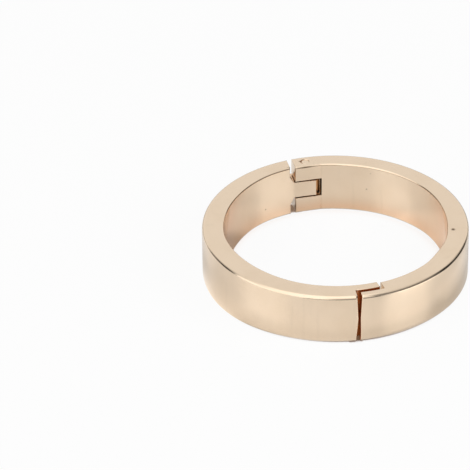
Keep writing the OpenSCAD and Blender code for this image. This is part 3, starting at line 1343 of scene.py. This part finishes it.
@dataclass
class Studio:
    """Table, surroundings, lamps and camera.

    Attributes:
        sizes: The ring's sizes.
        table: Half the table's side, in metres.
        view: Where the camera stands.
        lamps: The soft lamps.
        warm_bounce: The table's painted golden bounce light close to the metal.
        slit_shade_dark: Painted shade of the floor deep in a slit.
        slit_shade_pale: Painted shade of the floor at a slit's mouth.
        slit_reach: How close metal stands at a slit, in millimetres.
        slit_samples: Rays that find a slit.
        sky_reach: How close metal tints the table, in millimetres.
        sky_samples: Rays that find that metal.
        paint_rough: Roughness of the table's paint.
        paint_ior: Index of refraction of the table's paint.
        fill: How brightly the room lights the table's paint.
    """

    sizes: RingSizes = field(default_factory=RingSizes)
    table: float = 1.2
    view: View = View()
    lamps: tuple[Lamp, ...] = (Lamp("LampLeft", 192.0, 1.45), Lamp("LampRight", 320.0, 2.15))
    warm_bounce: Colour = (1.0, 0.83, 0.74, 1.0)
    slit_shade_dark: Colour = (0.09, 0.04, 0.015, 1.0)
    slit_shade_pale: Colour = (0.24, 0.155, 0.10, 1.0)
    slit_reach: float = 2.5
    slit_samples: int = 24
    sky_reach: float = 5.0
    sky_samples: int = 12
    paint_rough: float = 0.27
    paint_ior: float = 1.7
    fill: float = 0.22

    def build(self) -> None:
        """Makes the table, the surroundings, the lamps and the camera."""
        table = self.make_table()
        self.make_surroundings()
        self.make_lamps(table)
        self.make_camera()

    def make_table(self) -> bpy.types.Object:
        """Returns:
            The table, for the lamps to find.
        """
        half = self.table
        mesh = bpy.data.meshes.new("Table")
        spots = [(-half, -half, 0.0), (half, -half, 0.0), (half, half, 0.0), (-half, half, 0.0)]
        mesh.from_pydata(spots, [], [(0, 1, 2, 3)])
        mesh.materials.append(self.table_white())
        table = bpy.data.objects.new("Table", mesh)
        bpy.context.scene.collection.objects.link(table)
        return table

    def table_white(self) -> bpy.types.Material:
        """White paint with a faint soft shadow, painted shade and a little sheen.

        To the eye it is plain white, and where little sky is open just above
        it some of the lit paint shows through, a painted contact shade. A floor
        point is in a slit where metal stands close to it on both sides, towards
        +X and towards -X. There the eye sees a painted shade, dark brown deep
        in and paler at the mouth and towards +Y, and the metal's reflections
        see what light the paint gets. Inside the ring, and in a band across the
        table through the hinge notch, the eye sees the same painted shade where
        little sky is open. In the metal's reflections the white fades into the
        room with distance, with painted pools of light and painted dark lanes by
        direction; it is painted darker close to the metal, brighter near the
        outer rim's foot, and golden close to the metal, a painted bounce light.
        Distances are in metres from the ring's axis.

        Returns:
            The finished material.
        """
        made = bpy.data.materials.new("TableWhite")
        board = NodeBoard(made)
        seen, gloss, clear = Ray.masks(board)
        place = board.add("ShaderNodeTexCoord", {}, {}, "Object")
        floor = Compass(board, place, 0.001)
        away = floor.length
        east = floor.east

        def beside(way: float) -> Value:
            """How open the floor is towards +X, with 1, or -X, with -1."""
            facing = board.add("ShaderNodeCombineXYZ", {}, {0: 0.8 * way, 1: 0.0, 2: 0.6})
            return board.openness(self.slit_reach, self.slit_samples, {"Normal": facing})

        slit = beside(1.0).at_least(beside(-1.0))
        upright = board.add("ShaderNodeCombineXYZ", {}, {2: 1.0})
        sky = board.openness(self.sky_reach, self.sky_samples, {"Normal": upright})
        outside = away.span(0.0158, 0.0165)

        # Where the eye sees the floor hemmed in, inside the ring or in a band through the hinge
        # notch, it takes the slit's painted shade.
        mouth = east.span(-0.0029, -0.0026) * east.span(-0.0010, -0.0007, 1.0, 0.0)
        touching = (mouth + 1.0 - outside).at_most(1.0) * seen
        clean = slit.span(0.34, 0.5) * (1.0 - touching * sky.span(0.2, 0.42, 1.0, 0.0))

        # Painted fade in reflections: the white fades with distance, farther out in some
        # directions, and painted dark lanes cut it.
        right = floor.fan(309.0, 16.0, 27.0)
        reach = floor.fans((138.0, 38.0, 55.0, 0.8), (203.0, 22.0, 33.0, 30.0)) + right * 2.0
        cut = floor.fans((288.0, 3.0, 9.0, 0.5), (348.0, 14.0, 26.0, 0.5))
        cut = cut * away.span(0.0275, 0.034)
        near = (1.0 - (away / (reach + 1.0)).span(0.027, 0.054) - cut).at_least(0.0)

        # Painted bounce light: the white turns golden close to the metal and in slits.
        plain = (sky.span(0.5, 0.95) + outside + seen * sky.span(0.35, 0.7, 0.6, 1.0)).at_most(1.0)
        tinted = board.mix_colour(plain * clean, self.warm_bounce, WHITE)
        # Painted shade in slits: dark brown deep in, paler at the mouth and towards +Y.
        open_slit = slit.span(0.08, 0.28) * floor.north.span(-0.01, 0.01, 0.4, 1.15)
        depth = board.mix_colour(open_slit, self.slit_shade_dark, self.slit_shade_pale)
        # The paint's colour is painted darker in slits, and far off in reflections.
        shade = ((near + seen).at_most(1.0) * 0.85 + 0.05) * (0.75 + clean * 0.25)
        colour = board.vector("SCALE", {0: tinted, "Scale": shade})
        finish = {"Base Color": colour, "Roughness": self.paint_rough, "IOR": self.paint_ior}
        paint = board.add("ShaderNodeBsdfPrincipled", {}, finish)

        # Painted light in reflections: pools and darker patches by direction and distance, darker
        # close to the metal, and a painted slope across the floor inside the ring.
        low = floor.fans((190.0, 6.0, 26.0, 0.8), (250.0, 10.0, 26.0, 0.2)) - 0.3
        band = away.span(0.0205, 0.0215) * away.span(0.0235, 0.0255, 1.0, 0.0)
        painted_glow_out = sky.span(0.78, 1.0, low, 0.22) + right * away.span(0.026, 0.034, 0.0, 1.3)
        painted_glow_out = painted_glow_out + floor.fan(156.0, 8.0, 20.0, 0.3)
        painted_glow_out = painted_glow_out + floor.fan(336.0, 14.0, 24.0, 0.3) * band
        painted_glow_in = floor.along(-13.0) * 13.0 + sky.span(0.78, 1.0, -0.06, 0.10)
        painted_glow_in = painted_glow_in + floor.fans(
            (27.0, 10.0, 21.0, 0.4), (116.0, 8.0, 20.0, 0.3), (145.0, 8.0, 22.0, -0.45)
        )
        painted_glow = outside * painted_glow_out + (1.0 - outside) * painted_glow_in
        light = {"Color": board.mix_colour(clean, depth, tinted), "Strength": 1.0 + gloss * painted_glow}
        glow = board.add("ShaderNodeEmission", {}, light)

        # Painted contact shade for the eye where little sky is open above it; the last term paints
        # the floor brighter near the outer rim's foot, seen in reflections.
        under = (sky + outside * 0.15).span(0.18, 0.58, 0.62, 0.94)
        share = (seen * under + gloss * near * 0.35) * clean + seen * (1.0 - clean)
        share = share + clear * 0.85 + gloss * outside * sky.span(0.3, 0.7, 0.6, 0.0)
        both = board.add("ShaderNodeMixShader", {}, {0: share.at_most(1.0), 1: paint, 2: glow})
        board.node("ShaderNodeOutputMaterial", {}, {"Surface": both})
        return made

    def make_surroundings(self) -> None:
        """White studio: bright overhead, darker near the horizon."""
        world = bpy.data.worlds.new("Studio")
        bpy.context.scene.world = world
        board = NodeBoard(world)
        sky = Compass(board, board.add("ShaderNodeTexCoord", {}, {}, "Generated"), 0.1)
        seen, gloss, clear = Ray.masks(board)
        front = sky.fan(210.0, 34.0, 46.0)
        back = sky.fan(82.0, 42.0, 56.0)
        lane = sky.fan(295.0, 5.0, 9.0)
        latch = sky.fan(264.0, 27.0, 34.0) * (1.0 - lane)
        right = sky.fan(325.0, 32.0, 42.0)

        top = 0.68 - front * 0.76 - back * 0.68 + latch * 0.12 + right * 0.28
        top = top + sky.fan(146.0, 8.0, 18.0, 0.14) + lane * 0.2
        width = 0.62 + right * 0.06 + latch * 0.18
        rise = sky.height.span(top - width, top)
        dome = sky.along(257.0, 55.0).span(0.56, 0.79) * sky.along(8.28).span(0.12, 0.30, 1.0, 0.0)
        flank = front * (1.0 - sky.height.span(0.42, 0.72))
        high = 0.925 + flank.at_least(dome).at_least(latch) * 0.5 - right * 0.03
        low = 0.02 + latch * 0.48 + lane * 0.1
        low = low + sky.fans((132.0, 5.0, 25.0, 0.25), (317.0, 24.0, 36.0, 0.16))

        room = low + rise * (high - low)
        plain = (seen + clear).at_most(1.0)
        level = gloss * room + plain + (1.0 - (gloss + plain).at_most(1.0)) * self.fill
        glow = board.add("ShaderNodeBackground", {}, {"Color": WHITE, "Strength": level})
        board.node("ShaderNodeOutputWorld", {}, {"Surface": glow})

    def make_lamps(self, table: bpy.types.Object) -> None:
        """Soft lamps over the table, in front to the left and right.

        They light the table alone. The metal shows them as sheen on it.

        Args:
            table: What the lamps light.
        """
        lit = bpy.data.collections.new("LampLit")
        lit.objects.link(table)
        for lamp in self.lamps:
            light = bpy.data.lights.new(lamp.name, "AREA")
            light.shape = "SQUARE"
            light.size = lamp.size
            light.energy = lamp.power
            holder = bpy.data.objects.new(lamp.name, light)
            bpy.context.scene.collection.objects.link(holder)
            rise = math.radians(lamp.tilt)
            way = Vector((*polar(math.cos(rise), math.radians(lamp.azimuth)), math.sin(rise)))
            holder.location = way * lamp.away
            holder.rotation_euler = way.to_track_quat("Z", "Y").to_euler()
            holder.visible_camera = False
            holder.light_linking.receiver_collection = lit

    def make_camera(self) -> None:
        """Camera from the front, turned a little towards the latch.

        The ring's centre, its apparent size and its tilt give the camera's
        place: centre = X right + Y down + Z ahead, in ring radii.
        """
        view = self.view
        across_x, across_y = ((place - view.half) / view.radius for place in view.centre)
        turns = ((-view.turn, "Z"), (-90.0 - view.tilt, "X"), (-view.roll, "Z"))
        first, second, third = (Matrix.Rotation(math.radians(a), 4, axis) for a, axis in turns)
        facing = first @ second @ third
        centre = Vector((across_x, across_y, view.ahead)) * self.sizes.outer_r * MM
        eye = Vector((0.0, 0.0, self.sizes.middle * MM)) - facing @ centre
        lens = bpy.data.cameras.new("Camera")
        lens.sensor_width = 36.0
        lens.lens = view.radius * view.ahead / (2.0 * view.half) * lens.sensor_width
        lens.clip_start = 0.01
        camera = bpy.data.objects.new("Camera", lens)
        bpy.context.scene.collection.objects.link(camera)
        half_turn = Matrix.Rotation(math.pi, 4, "X")
        camera.matrix_world = Matrix.Translation(eye) @ facing @ half_turn
        bpy.context.scene.camera = camera


def main() -> None:
    """Builds the ring and its studio, in order, and reports each piece."""
    logging.basicConfig(level=logging.INFO, format="%(name)s: %(message)s")
    plate = GoldPlate("GoldPlate").material()
    pin_plate = GoldPlate("PinPlate", roughness=0.2).material()
    plan = [
        (ForkHalf(), "fork_half", "fork_side", "plated_band", plate),
        (TongueHalf(), "tongue_half", "tongue_side", "plated_band", plate),
        (HingePin(), "hinge_pin", "fork_side", "plated_pin", pin_plate),
    ]
    for maker, node, body, slot, finish in plan:
        piece = maker.build()
        piece.data.materials.append(finish)
        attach(piece, body)
        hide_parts(node)
        LOG.info("%s: %d faces", piece.name, len(piece.data.polygons))
    Studio().build()
    bpy.context.scene.view_settings.view_transform = "Standard"


if __name__ == "__main__":
    main()
